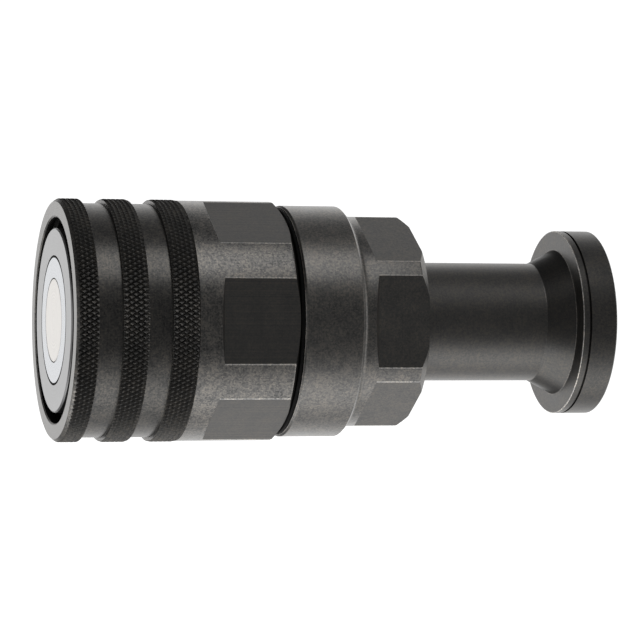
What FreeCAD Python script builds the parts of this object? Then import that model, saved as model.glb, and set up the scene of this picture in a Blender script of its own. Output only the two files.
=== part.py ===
"""Screw-to-connect flat-face hydraulic coupler, female half, with a clamped flange head.

Every length is in millimetres. The coupler lies along X. A station is a distance
measured from the flush coupling face towards the flange, so that the coupling face
is at station 0 and the flange's sealing face is at station OVERALL_LENGTH. The origin
is the centre of the flange's sealing face: +X leaves the port there, +Z is up.
"""
import FreeCAD, Part
import math
import os

# ---- Driving dimensions ------------------------------------------------------------

OVERALL_LENGTH = 160.7

# Locking sleeve, outside
SLEEVE_R = 34.7            # over the knurled bands
SLEEVE_PLAIN_R = 34.5      # between the last band and the flats
SLEEVE_GROOVE_R = 33.4
SLEEVE_END = 64.15
SLEEVE_FLATS = 64.6        # across the six spanner flats, for a 65 mm spanner
SLEEVE_FLATS_START = 42.2
FRONT_CHAMFER = 0.9
REAR_CHAMFER_START = 62.7
REAR_CHAMFER_R = 32.2
KNURL_BANDS = ((0.0, 6.35), (13.2, 20.45), (27.2, 34.6))

# Locking sleeve, inside
THREAD_MINOR_R = 29.4
THREAD_MAJOR_R = 30.9
THREAD_PITCH = 4.0
THREAD_START = 2.6
THREAD_TURNS = 3
THREAD_FLANK = 0.3         # half width of a groove at its mouth, as a share of the pitch
THREAD_RELIEF_START = 15.4
THREAD_RELIEF_END = 18.6
THREAD_RELIEF_R = 31.0
LIP_R = 27.56              # bore of the rear lip, on the spigot
LIP_START = 53.9
BORE_CHAMFER = 0.4
MOUTH_CHAMFER = 0.5
RELIEF_RUN_OUT = 0.8

# Front barrel, screwed on the body's spigot; the sleeve turns round it
BARREL_START = 15.0
BARREL_END = 52.0
BARREL_R = 29.3
BARREL_BORE_R = 26.4
FRICTION_GROOVE = (24.0, 27.2)
FRICTION_GROOVE_R = 27.9
BARREL_CHAMFER = 0.6
WASHER_PLAY = 0.1          # thrust washer to the sleeve

# Main body
SPIGOT_START = 38.4
SPIGOT_THREAD_R = 27.4
SPIGOT_R = 27.45
SPIGOT_SEAL = (40.4, 42.6)
SPIGOT_SEAL_R = 25.4
SPRING_CAVITY_R = 22.9
BODY_START = 65.4
BODY_END = 82.9
BODY_R = 33.45
BODY_CHAMFER = 0.8
SPIDER_SEAT_R = 24.6       # bore for the spider and the adapter's nose
ADAPTER_THREAD_R = 27.5
ADAPTER_THREAD_START = 75.4

# Rubber ring between sleeve and body
WIPER_START = 64.27
WIPER_CROWN_R = 33.4
WIPER_CROWN_HEIGHT = 0.35

# Flange adapter
COLLAR_R = 30.5
COLLAR_FILLET = 1.8        # hollow between the body's rear face and the collar
COLLAR_END = 103.4
COLLAR_CHAMFER_START = 101.2
COLLAR_CHAMFER_R = 28.4
COLLAR_FLATS = 55.0
COLLAR_FLATS_START = 88.4
NECK_R = 17.3
NECK_FILLET = 0.8
FLARE_START = 142.7        # a cone from the neck to the flange
FLARE_R = 21.3
FLANGE_START = 150.3
FLANGE_R = 27.0
FLANGE_CHAMFER = 0.35
FLANGE_FRONT_CHAMFER = 0.1
RIM_GROOVE_START = 152.2
RIM_GROOVE_WIDTH = 0.6
RIM_GROOVE_DEPTH = 0.5
PORT_R = 12.7
CHAMBER_R = 21.2
CHAMBER_END = 79.5
PORT_CONE_END = 87.9
FACE_GROOVE = (18.3, 22.35)
FACE_GROOVE_DEPTH = 2.8
FACE_SEAL_RECESS = 0.05
FACE_SEAL_PLAY = 0.2
FACE_SEAL_CORNER = 1.0
ADAPTER_SEAL = (70.2, 73.8)
ADAPTER_SEAL_R = 23.0
BACKUP_THICKNESS = 1.2

# Sliding valve sleeve
VALVE_R = 26.3
VALVE_HEAD_END = 24.0
VALVE_BORE_R = 18.08
VALVE_SEAT_START = 6.1
VALVE_TUBE_BORE_R = 16.5
VALVE_TUBE_R = 19.6
VALVE_TUBE_END = 44.0
VALVE_SEAL_GROOVE = (17.6, 21.6)
VALVE_SEAL_GROOVE_R = 23.7
VALVE_CHAMFER = 0.4
VALVE_TUBE_CHAMFER = 0.8
VALVE_SEAT_SLOPE = 1.3      # rise of the seat's cone over its run

# Fixed valve stem
STEM_HEAD_R = 18.0
STEM_HEAD_END = 6.0
STEM_CONE_END = 13.0
STEM_ROD_R = 9.0
STEM_BOSS_R = 15.0
STEM_CAP_LIP = 2.2
STEM_SEAL_GROOVE = (2.0, 4.4)
STEM_SEAL_GROOVE_R = 16.3
STEM_SEAL_CORNER = 0.3
SPIDER_START = 62.0
SPIDER_END = 69.0
STEM_PILOT_R = 7.0
STEM_THREAD_R = 6.0
STEM_END = 79.0
STEM_THREAD_CHAMFER = 0.8
HEAD_CHAMFER = 0.2
SPIDER_HOLE_R = 4.5
SPIDER_HOLE_CIRCLE_R = 15.4
WASHER_THICKNESS = 1.5
WASHER_R = 10.4
NUT_FLATS = 19.0
NUT_HEIGHT = 6.5
NUT_CHAMFER = 0.9

# Relief plunger in the middle of the stem
PLUNGER_R = 11.85
PLUNGER_BORE_R = 11.95
PLUNGER_FLANGE_R = 13.2
PLUNGER_CAVITY_R = 13.3
PLUNGER_FLANGE_END = 4.6
PLUNGER_CAVITY_END = 7.2
PLUNGER_ROD_R = 3.0
PLUNGER_GUIDE_R = 3.08
PLUNGER_ROD_END = 34.0
RELIEF_POCKET_R = 6.2
RELIEF_POCKET_END = 28.0
PLUNGER_GUIDE_END = 40.0
PLUNGER_SEAT_GAP = 0.3     # room for the seat ring in front of the plunger's flange
PLUNGER_CHAMFER = 0.15
PLUNGER_ROD_CHAMFER = 0.5
RELIEF_SEAL_GAP = 0.02
VENT_R = 1.8
VENT_STATION = 20.0

# Springs: wire, mean coil radius, turns
VALVE_SPRING = (2.6, 21.45, 8)
RELIEF_SPRING = (1.6, 4.6, 8)
SPRING_END_GAP = 0.1

SIDES = 6
WALL_SLOPE = math.tan(math.radians(30))    # run-out of the milled flats
TOOL_R = 60.0                              # larger than any outside radius
OVERRUN = 10.0                             # how far a cut runs past the edge it clears
SEAL_CLEARANCE = 0.06
SHALLOW = 1 - math.sqrt(0.5)               # how far in a quarter arc's middle lies

# ---- Helpers -----------------------------------------------------------------------


def at(station, radius, angle=0.0):
    """The point at a station and radius, turned about X by an angle in degrees from +Z."""
    turn = math.radians(angle)
    return FreeCAD.Vector(station - OVERALL_LENGTH, radius * math.sin(turn), radius * math.cos(turn))


X_AXIS = FreeCAD.Vector(1, 0, 0)
CENTRE = FreeCAD.Vector(0, 0, 0)


def outline(points):
    """A closed wire through (station, radius) points; a (through, to) pair makes an arc."""
    edges = []
    here = at(*points[0])
    for step in list(points[1:]) + [points[0]]:
        if isinstance(step[0], tuple):
            through, to = step
            edges.append(Part.Arc(here, at(*through), at(*to)).toShape())
            here = at(*to)
        else:
            edges.append(Part.LineSegment(here, at(*step)).toShape())
            here = at(*step)
    return Part.Wire(edges)


def turned(points):
    """A solid of revolution about X."""
    return Part.Face(outline(points)).revolve(CENTRE, X_AXIS, 360)


def ring(start, end, inner, outer):
    """A plain ring with a rectangular section."""
    return turned([(start, inner), (start, outer), (end, outer), (end, inner)])


def soft_ring(start, end, inner, outer, corner=0.4):
    """A ring whose section has rounded corners."""
    bulge = corner * SHALLOW
    return turned([
        (start + corner, inner),
        ((start + bulge, inner + bulge), (start, inner + corner)),
        (start, outer - corner),
        ((start + bulge, outer - bulge), (start + corner, outer)),
        (end - corner, outer),
        ((end - bulge, outer - bulge), (end, outer - corner)),
        (end, inner + corner),
        ((end - bulge, inner + bulge), (end - corner, inner)),
    ])


def hole_along_x(start, end, radius, distance, angle):
    """A cylinder along X that cuts a hole right through, away from the axis."""
    return Part.makeCylinder(radius, end - start + 2 * OVERRUN, at(start - OVERRUN, distance, angle), X_AXIS)


def flat_cutter(across_flats, start, end):
    """What a cutter takes away to leave SIDES flats, one of them facing -Y.

    The front wall of each flat leans forwards as it rises.
    """
    flat = across_flats / 2
    rise = TOOL_R - flat
    section = Part.makePolygon([
        FreeCAD.Vector(start - OVERALL_LENGTH, -flat, -TOOL_R),
        FreeCAD.Vector(end - OVERALL_LENGTH, -flat, -TOOL_R),
        FreeCAD.Vector(end - OVERALL_LENGTH, -TOOL_R, -TOOL_R),
        FreeCAD.Vector(start - rise * WALL_SLOPE - OVERALL_LENGTH, -TOOL_R, -TOOL_R),
        FreeCAD.Vector(start - OVERALL_LENGTH, -flat, -TOOL_R),
    ])
    block = Part.Face(section).extrude(FreeCAD.Vector(0, 0, 2 * TOOL_R))
    blocks = []
    for side in range(SIDES):
        copy = block.copy()
        copy.rotate(CENTRE, X_AXIS, side * 360 / SIDES)
        blocks.append(copy)
    return blocks[0].fuse(blocks[1:])


def coil(start, end, wire, mean_radius, turns):
    """A compression spring of round wire between two stations."""
    inset = wire / 2 + SPRING_END_GAP
    length = end - start - 2 * inset
    pitch = length / turns
    path = Part.Wire(Part.makeHelix(pitch, length, mean_radius).Edges)
    tilt = math.atan2(pitch, 2 * math.pi * mean_radius)
    tangent = FreeCAD.Vector(0, math.cos(tilt), math.sin(tilt))
    centre = FreeCAD.Vector(mean_radius, 0, 0)
    section = Part.Wire(Part.makeCircle(wire / 2, centre, tangent))
    spring = path.makePipeShell([section], True, True)
    spring.rotate(CENTRE, FreeCAD.Vector(0, 1, 0), 90)
    spring.translate(at(start + inset, 0))
    return spring


# ---- Outside ring and sleeve -------------------------------------------------------


def locking_sleeve():
    """Threaded sleeve: three bands on the outside, six flats, a rear lip inside."""
    outside = [(0, SLEEVE_R - FRONT_CHAMFER), (FRONT_CHAMFER, SLEEVE_R)]
    for band, following in zip(KNURL_BANDS, KNURL_BANDS[1:]):
        outside += [(band[1], SLEEVE_R), (band[1], SLEEVE_GROOVE_R)]
        outside += [(following[0], SLEEVE_GROOVE_R), (following[0], SLEEVE_R)]
    outside += [
        (KNURL_BANDS[-1][1], SLEEVE_R),
        (KNURL_BANDS[-1][1], SLEEVE_PLAIN_R),
        (REAR_CHAMFER_START, SLEEVE_PLAIN_R),
        (SLEEVE_END, REAR_CHAMFER_R),
    ]
    inside = [
        (SLEEVE_END, LIP_R + BORE_CHAMFER),
        (SLEEVE_END - BORE_CHAMFER, LIP_R),
        (LIP_START, LIP_R),
        (LIP_START, THREAD_MINOR_R),
        (THREAD_RELIEF_END + RELIEF_RUN_OUT, THREAD_MINOR_R),
        (THREAD_RELIEF_END, THREAD_RELIEF_R),
        (THREAD_RELIEF_START, THREAD_RELIEF_R),
        (THREAD_RELIEF_START - BORE_CHAMFER, THREAD_MINOR_R),
    ]
    flank = THREAD_FLANK * THREAD_PITCH
    for turn in reversed(range(THREAD_TURNS)):
        root = THREAD_START + THREAD_PITCH * (turn + 0.5)
        inside += [
            (root + flank, THREAD_MINOR_R),
            (root + flank / 2, THREAD_MAJOR_R),
            (root - flank / 2, THREAD_MAJOR_R),
            (root - flank, THREAD_MINOR_R),
        ]
    inside += [(MOUTH_CHAMFER, THREAD_MINOR_R), (0, THREAD_MINOR_R + MOUTH_CHAMFER)]
    return turned(outside + inside).cut(flat_cutter(SLEEVE_FLATS, SLEEVE_FLATS_START, SLEEVE_END))


def sleeve_wiper_ring():
    """Rubber ring that closes the gap between the turning sleeve and the body."""
    middle = (WIPER_START + BODY_START) / 2
    shoulder = WIPER_CROWN_R - WIPER_CROWN_HEIGHT
    return turned([
        (WIPER_START, SPIGOT_R),
        (WIPER_START, shoulder),
        ((middle, WIPER_CROWN_R), (BODY_START, shoulder)),
        (BODY_START, SPIGOT_R),
    ])


def thrust_washer():
    """Bearing ring between the sleeve's lip and the barrel."""
    return ring(BARREL_END, LIP_START - WASHER_PLAY, SPIGOT_R, BARREL_R - WASHER_PLAY)


def sleeve_friction_ring():
    """Ring in the barrel's outer groove that keeps the sleeve from turning by itself."""
    start, end = FRICTION_GROOVE
    return soft_ring(start, end, FRICTION_GROOVE_R, THREAD_MINOR_R - SEAL_CLEARANCE)


# ---- Body and adapter --------------------------------------------------------------


def front_barrel():
    """Guides the valve sleeve and holds the locking sleeve on the body."""
    start, end = FRICTION_GROOVE
    return turned([
        (BARREL_START, BARREL_BORE_R + MOUTH_CHAMFER),
        (BARREL_START, BARREL_R - BARREL_CHAMFER),
        (BARREL_START + BARREL_CHAMFER, BARREL_R),
        (start, BARREL_R),
        (start, FRICTION_GROOVE_R),
        (end, FRICTION_GROOVE_R),
        (end, BARREL_R),
        (BARREL_END, BARREL_R),
        (BARREL_END, SPIGOT_THREAD_R),
        (SPIGOT_START, SPIGOT_THREAD_R),
        (SPIGOT_START, BARREL_BORE_R),
        (BARREL_START + MOUTH_CHAMFER, BARREL_BORE_R),
    ])


def main_body():
    """Pressure body: a threaded spigot inside the sleeve and the plain ring behind it."""
    return turned([
        (SPIGOT_START, SPRING_CAVITY_R),
        (SPIGOT_START, SPIGOT_THREAD_R),
        (SPIGOT_SEAL[0], SPIGOT_THREAD_R),
        (SPIGOT_SEAL[0], SPIGOT_SEAL_R),
        (SPIGOT_SEAL[1], SPIGOT_SEAL_R),
        (SPIGOT_SEAL[1], SPIGOT_THREAD_R),
        (BARREL_END, SPIGOT_THREAD_R),
        (BARREL_END, SPIGOT_R),
        (BODY_START, SPIGOT_R),
        (BODY_START, BODY_R - BODY_CHAMFER),
        (BODY_START + BODY_CHAMFER, BODY_R),
        (BODY_END - BODY_CHAMFER, BODY_R),
        (BODY_END, BODY_R - BODY_CHAMFER),
        (BODY_END, ADAPTER_THREAD_R),
        (ADAPTER_THREAD_START, ADAPTER_THREAD_R),
        (ADAPTER_THREAD_START, SPIDER_SEAT_R),
        (SPIDER_START, SPIDER_SEAT_R),
        (SPIDER_START, SPRING_CAVITY_R),
    ])


def barrel_o_ring():
    """Seal between the body's spigot and the front barrel."""
    start, end = SPIGOT_SEAL
    return soft_ring(start, end, SPIGOT_SEAL_R, SPIGOT_THREAD_R)


def flange_adapter():
    """Hexagon collar, neck and flange head in one piece, screwed into the body."""
    seal_start, seal_end = ADAPTER_SEAL
    blend = NECK_FILLET * SHALLOW
    fillet = COLLAR_FILLET * SHALLOW
    inner, outer = FACE_GROOVE
    solid = turned([
        (SPIDER_END, CHAMBER_R),
        (SPIDER_END, SPIDER_SEAT_R),
        (seal_start, SPIDER_SEAT_R),
        (seal_start, ADAPTER_SEAL_R),
        (seal_end, ADAPTER_SEAL_R),
        (seal_end, SPIDER_SEAT_R),
        (ADAPTER_THREAD_START, SPIDER_SEAT_R),
        (ADAPTER_THREAD_START, ADAPTER_THREAD_R),
        (BODY_END, ADAPTER_THREAD_R),
        (BODY_END, COLLAR_R + COLLAR_FILLET),
        ((BODY_END + fillet, COLLAR_R + fillet), (BODY_END + COLLAR_FILLET, COLLAR_R)),
        (COLLAR_CHAMFER_START, COLLAR_R),
        (COLLAR_END, COLLAR_CHAMFER_R),
        (COLLAR_END, NECK_R + NECK_FILLET),
        ((COLLAR_END + blend, NECK_R + blend), (COLLAR_END + NECK_FILLET, NECK_R)),
        (FLARE_START, NECK_R),
        (FLANGE_START, FLARE_R),
        (FLANGE_START, FLANGE_R - FLANGE_FRONT_CHAMFER),
        (FLANGE_START + FLANGE_FRONT_CHAMFER, FLANGE_R),
        (RIM_GROOVE_START, FLANGE_R),
        (RIM_GROOVE_START, FLANGE_R - RIM_GROOVE_DEPTH),
        (RIM_GROOVE_START + RIM_GROOVE_WIDTH, FLANGE_R - RIM_GROOVE_DEPTH),
        (RIM_GROOVE_START + RIM_GROOVE_WIDTH, FLANGE_R),
        (OVERALL_LENGTH - FLANGE_CHAMFER, FLANGE_R),
        (OVERALL_LENGTH, FLANGE_R - FLANGE_CHAMFER),
        (OVERALL_LENGTH, outer),
        (OVERALL_LENGTH - FACE_GROOVE_DEPTH, outer),
        (OVERALL_LENGTH - FACE_GROOVE_DEPTH, inner),
        (OVERALL_LENGTH, inner),
        (OVERALL_LENGTH, PORT_R),
        (PORT_CONE_END, PORT_R),
        (CHAMBER_END, CHAMBER_R),
    ])
    return solid.cut(flat_cutter(COLLAR_FLATS, COLLAR_FLATS_START, COLLAR_END))


def adapter_o_ring():
    """Seal between the adapter's nose and the body."""
    start, end = ADAPTER_SEAL
    return soft_ring(start, end - BACKUP_THICKNESS, ADAPTER_SEAL_R, SPIDER_SEAT_R)


def adapter_backup_ring():
    """Hard ring that stops the adapter's seal from being squeezed out."""
    end = ADAPTER_SEAL[1]
    return ring(end - BACKUP_THICKNESS, end, ADAPTER_SEAL_R, SPIDER_SEAT_R)


def flange_o_ring():
    """Face seal in the flange, at its clamped height."""
    inner, outer = FACE_GROOVE
    start = OVERALL_LENGTH - FACE_GROOVE_DEPTH
    end = OVERALL_LENGTH - FACE_SEAL_RECESS
    return soft_ring(start, end, inner + FACE_SEAL_PLAY, outer, FACE_SEAL_CORNER)


# ---- Sliding valve -----------------------------------------------------------------


def valve_sleeve():
    """Flush ring and tube that slides back to open the flow."""
    seal_start, seal_end = VALVE_SEAL_GROOVE
    seat_run = (VALVE_BORE_R - VALVE_TUBE_BORE_R) / VALVE_SEAT_SLOPE
    return turned([
        (0, VALVE_BORE_R + HEAD_CHAMFER),
        (0, VALVE_R - VALVE_CHAMFER),
        (VALVE_CHAMFER, VALVE_R),
        (seal_start, VALVE_R),
        (seal_start, VALVE_SEAL_GROOVE_R),
        (seal_end, VALVE_SEAL_GROOVE_R),
        (seal_end, VALVE_R),
        (VALVE_HEAD_END, VALVE_R),
        (VALVE_HEAD_END, VALVE_TUBE_R),
        (VALVE_TUBE_END - VALVE_TUBE_CHAMFER, VALVE_TUBE_R),
        (VALVE_TUBE_END, VALVE_TUBE_R - VALVE_TUBE_CHAMFER),
        (VALVE_TUBE_END, VALVE_TUBE_BORE_R),
        (VALVE_SEAT_START + seat_run, VALVE_TUBE_BORE_R),
        (VALVE_SEAT_START, VALVE_BORE_R),
        (HEAD_CHAMFER, VALVE_BORE_R),
    ])


def valve_sleeve_o_ring():
    """Seal between the sliding valve sleeve and the barrel."""
    start, end = VALVE_SEAL_GROOVE
    return soft_ring(start, end - BACKUP_THICKNESS, VALVE_SEAL_GROOVE_R, BARREL_BORE_R - SEAL_CLEARANCE)


def valve_sleeve_backup_ring():
    """Hard ring behind the valve sleeve's seal."""
    end = VALVE_SEAL_GROOVE[1]
    return ring(end - BACKUP_THICKNESS, end, VALVE_SEAL_GROOVE_R, BARREL_BORE_R - SEAL_CLEARANCE)


def valve_spring():
    """Spring that holds the valve sleeve shut."""
    return coil(VALVE_HEAD_END, SPIDER_START, *VALVE_SPRING)


# ---- Fixed stem --------------------------------------------------------------------


def valve_stem():
    """Fixed stem: the rear of the flush head, a rod, a pilot and a thread."""
    solid = turned([
        (STEM_CAP_LIP, PLUNGER_CAVITY_R),
        (STEM_CAP_LIP, STEM_BOSS_R),
        (STEM_HEAD_END, STEM_BOSS_R),
        (STEM_HEAD_END, STEM_HEAD_R),
        (STEM_CONE_END, STEM_ROD_R),
        (SPIDER_START, STEM_ROD_R),
        (SPIDER_START, STEM_PILOT_R),
        (SPIDER_END, STEM_PILOT_R),
        (SPIDER_END, STEM_THREAD_R),
        (STEM_END - STEM_THREAD_CHAMFER, STEM_THREAD_R),
        (STEM_END, STEM_THREAD_R - STEM_THREAD_CHAMFER),
        (STEM_END, 0),
        (PLUNGER_GUIDE_END, 0),
        (PLUNGER_GUIDE_END, PLUNGER_GUIDE_R),
        (RELIEF_POCKET_END, PLUNGER_GUIDE_R),
        (RELIEF_POCKET_END, RELIEF_POCKET_R),
        (PLUNGER_CAVITY_END, RELIEF_POCKET_R),
        (PLUNGER_CAVITY_END, PLUNGER_CAVITY_R),
    ])
    vent_top = at(VENT_STATION, STEM_ROD_R + OVERRUN)
    vent = Part.makeCylinder(VENT_R, 2 * (STEM_ROD_R + OVERRUN), vent_top, FreeCAD.Vector(0, 0, -1))
    return solid.cut(vent)


def stem_cap():
    """Front ring of the flush head, screwed on the stem; it holds the plunger in."""
    seal_start, seal_end = STEM_SEAL_GROOVE
    return turned([
        (0, PLUNGER_BORE_R + PLUNGER_CHAMFER),
        (0, STEM_HEAD_R - HEAD_CHAMFER),
        (HEAD_CHAMFER, STEM_HEAD_R),
        (seal_start, STEM_HEAD_R),
        (seal_start, STEM_SEAL_GROOVE_R),
        (seal_end, STEM_SEAL_GROOVE_R),
        (seal_end, STEM_HEAD_R),
        (STEM_HEAD_END, STEM_HEAD_R),
        (STEM_HEAD_END, STEM_BOSS_R),
        (STEM_CAP_LIP, STEM_BOSS_R),
        (STEM_CAP_LIP, PLUNGER_BORE_R),
        (PLUNGER_CHAMFER, PLUNGER_BORE_R),
    ])


def stem_seal():
    """Moulded seal between the stem's head and the valve sleeve."""
    start, end = STEM_SEAL_GROOVE
    return soft_ring(start, end, STEM_SEAL_GROOVE_R, STEM_HEAD_R, STEM_SEAL_CORNER)


def stem_spider():
    """Perforated plate that holds the stem in the middle of the flow."""
    plate = ring(SPIDER_START, SPIDER_END, STEM_PILOT_R, SPIDER_SEAT_R)
    for hole in range(SIDES):
        angle = hole * 360 / SIDES
        cutter = hole_along_x(SPIDER_START, SPIDER_END, SPIDER_HOLE_R, SPIDER_HOLE_CIRCLE_R, angle)
        plate = plate.cut(cutter)
    return plate


def stem_washer():
    """Plain washer under the stem's nut."""
    return ring(SPIDER_END, SPIDER_END + WASHER_THICKNESS, STEM_THREAD_R, WASHER_R)


def stem_nut():
    """Hexagon nut that pulls the stem against the spider."""
    start = SPIDER_END + WASHER_THICKNESS
    corner = NUT_FLATS / 2 / math.cos(math.pi / SIDES)
    end = start + NUT_HEIGHT
    blank = turned([
        (start, STEM_THREAD_R),
        (start, corner),
        (end - NUT_CHAMFER, corner),
        (end, corner - NUT_CHAMFER / WALL_SLOPE),
        (end, STEM_THREAD_R),
    ])
    return blank.cut(flat_cutter(NUT_FLATS, start - TOOL_R, end))


# ---- Relief plunger ----------------------------------------------------------------


def relief_plunger():
    """Flush disc that moves back first and lets trapped pressure out."""
    return turned([
        (0, 0),
        (0, PLUNGER_R - PLUNGER_CHAMFER),
        (PLUNGER_CHAMFER, PLUNGER_R),
        (STEM_CAP_LIP + PLUNGER_SEAT_GAP, PLUNGER_R),
        (STEM_CAP_LIP + PLUNGER_SEAT_GAP, PLUNGER_FLANGE_R),
        (PLUNGER_FLANGE_END, PLUNGER_FLANGE_R),
        (PLUNGER_FLANGE_END, PLUNGER_ROD_R),
        (PLUNGER_ROD_END - PLUNGER_ROD_CHAMFER, PLUNGER_ROD_R),
        (PLUNGER_ROD_END, PLUNGER_ROD_R - PLUNGER_ROD_CHAMFER),
        (PLUNGER_ROD_END, 0),
    ])


def relief_seal():
    """Thin seat ring on the front of the plunger's flange."""
    start = STEM_CAP_LIP + RELIEF_SEAL_GAP
    return ring(start, STEM_CAP_LIP + PLUNGER_SEAT_GAP, PLUNGER_R, PLUNGER_FLANGE_R - WASHER_PLAY)


def relief_spring():
    """Spring that holds the relief plunger shut."""
    return coil(PLUNGER_FLANGE_END, RELIEF_POCKET_END, *RELIEF_SPRING)


# ---- Write every node --------------------------------------------------------------

NODES = (
    locking_sleeve,
    thrust_washer,
    sleeve_wiper_ring,
    sleeve_friction_ring,
    front_barrel,
    barrel_o_ring,
    main_body,
    flange_adapter,
    adapter_o_ring,
    adapter_backup_ring,
    flange_o_ring,
    valve_sleeve,
    valve_sleeve_o_ring,
    valve_sleeve_backup_ring,
    valve_spring,
    valve_stem,
    stem_cap,
    stem_seal,
    stem_spider,
    stem_washer,
    stem_nut,
    relief_plunger,
    relief_seal,
    relief_spring,
)

os.makedirs("parts", exist_ok=True)
for node in NODES:
    shape = node()
    if shape.ShapeType != "Solid":
        shape = Part.Compound(shape.Solids) if len(shape.Solids) > 1 else shape.Solids[0]
    shape.exportStep(f"parts/{node.__name__}.step")
    print(node.__name__, len(shape.Solids), round(shape.Volume), shape.isValid())
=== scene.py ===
"""Looks of the flat-face hydraulic coupler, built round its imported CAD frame."""
import math

import bmesh
import bpy
from mathutils import Matrix, Vector


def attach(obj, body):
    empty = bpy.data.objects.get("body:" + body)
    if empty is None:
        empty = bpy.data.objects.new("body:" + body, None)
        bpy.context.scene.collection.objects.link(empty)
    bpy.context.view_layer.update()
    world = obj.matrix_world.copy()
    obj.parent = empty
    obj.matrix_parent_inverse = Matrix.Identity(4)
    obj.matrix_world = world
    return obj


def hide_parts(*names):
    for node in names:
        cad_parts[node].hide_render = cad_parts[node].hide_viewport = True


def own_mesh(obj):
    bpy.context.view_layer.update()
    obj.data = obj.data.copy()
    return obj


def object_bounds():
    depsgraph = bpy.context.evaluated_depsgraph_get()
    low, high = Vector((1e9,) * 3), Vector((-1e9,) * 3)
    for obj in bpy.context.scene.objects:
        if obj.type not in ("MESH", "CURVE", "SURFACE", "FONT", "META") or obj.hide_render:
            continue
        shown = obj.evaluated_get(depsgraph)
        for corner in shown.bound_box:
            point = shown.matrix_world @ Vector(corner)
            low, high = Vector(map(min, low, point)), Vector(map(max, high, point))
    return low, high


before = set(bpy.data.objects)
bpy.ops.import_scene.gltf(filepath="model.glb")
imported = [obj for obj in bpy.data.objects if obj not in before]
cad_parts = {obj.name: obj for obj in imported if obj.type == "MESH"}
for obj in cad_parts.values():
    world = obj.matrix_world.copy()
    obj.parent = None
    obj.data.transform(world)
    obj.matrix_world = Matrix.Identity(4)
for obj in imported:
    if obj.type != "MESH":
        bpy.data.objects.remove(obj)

CAD_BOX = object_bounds()

# ---- Sizes ---------------------------------------------------------------------------
# Lengths are in millimetres. A station is the distance from the flush coupling face
# towards the flange, and FRONT_X is where station 0 lies on the frame's X axis.

MM = 0.001
FRONT_X = CAD_BOX[0].x / MM
LENGTH = -FRONT_X

SLEEVE_R = 34.7
SLEEVE_PLAIN_R = 34.5
SLEEVE_FACE_R = 33.8        # rim of the sleeve's front face
FRONT_BEVEL_END = (0.75, 34.45)     # station and radius, beside the first knurled band
SLEEVE_GROOVE_R = 33.4
SLEEVE_END = 64.15
SLEEVE_FLAT = 32.3          # from the axis to each spanner flat
SLEEVE_FLATS_START = 42.2
REAR_CHAMFER_START = 62.7
REAR_CHAMFER_R = 32.2
KNURL_BANDS = ((0.9, 6.35), (13.2, 20.45), (27.2, 34.6))
KNURL_COUNT = 145           # diamonds round a band
KNURL_DEPTH = 0.5
KNURL_TOP = 0.24            # width of a diamond's flat top, as a share of its base
KNURL_CHAMFER = 0.2         # at the ends of a band

THREAD_MINOR_R = 29.4       # the thread is internal
THREAD_MAJOR_R = 30.9
THREAD_PITCH = 4.0
THREAD_START = 2.6
THREAD_END = 15.0
PLAIN_BORE_END = 1.3        # station before which the bore has no thread
RELIEF_START = 15.4         # groove that the thread runs out into
RELIEF_END = 18.6
RELIEF_R = THREAD_MAJOR_R + 0.1
LIP_R = 27.56
LIP_START = 53.9
SLEEVE_BACK_R = 31.4        # a ring on the sleeve's back face, inside its chamfer

WIPER_START = 64.27
WIPER_SHOULDER_R = 32.6
WIPER_CROWN = 0.3

BODY_START = 65.4
BODY_END = 82.9
BODY_R = 33.45
BODY_FRONT_CHAMFER = (0.6, 0.5)     # along the axis, and down
BODY_BACK_CHAMFER = 0.7
SPIGOT_START = 38.4
SPIGOT_R = 27.45
SPIGOT_STEP = 52.0
SPIGOT_BORE_R = 22.9
SPRING_SEAT = 62.0          # where the valve's spring stands
SOCKET_R = 27.5             # where the adapter sits in the body
SOCKET_END = 75.4
SOCKET_BORE_R = 24.6

COLLAR_R = 30.5
COLLAR_FLAT = 27.5
COLLAR_FLATS_START = 88.4
COLLAR_CHAMFER_START = 101.2
COLLAR_END = 103.4
COLLAR_END_R = 28.4
COLLAR_FILLET = 1.8
COLLAR_BACK_R = 26.5        # on the back face, where the mesh turns from flatted to round
NECK_R = 17.3
NECK_FILLET = 0.8
NECK_FILLET_RIM = 24.0      # a ring on the collar's back face, outside the fillet
FLARE_START = 142.7
FLARE_R = 21.3
FLANGE_START = 150.3
FLANGE_R = 27.0
RIM_GROOVE_START = 152.2
RIM_GROOVE_WIDTH = 0.6
RIM_GROOVE_DEPTH = 0.5
SEAL_GROOVE_OUTER_R = 22.35
SEAL_GROOVE_INNER_R = 18.3
SEAL_GROOVE_DEPTH = 2.8
ADAPTER_START = 69.0
CHAMBER_R = 21.2            # wide bore in front of the port's cone
CHAMBER_END = 79.5
PORT_START = 87.9
PORT_R = 12.7

WALL_SLOPE = math.tan(math.radians(30))
SIDES = 6
COLUMNS = 360
SHARP_ANGLE = 38            # degrees; edges that turn more are not shaded smooth


# ---- Mesh building -------------------------------------------------------------------


def point(station, radius, angle):
    """A vertex position in metres; the angle is in radians from -Y, towards +Z."""
    return Vector((
        (FRONT_X + station) * MM,
        -radius * math.cos(angle) * MM,
        radius * math.sin(angle) * MM,
    ))


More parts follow.
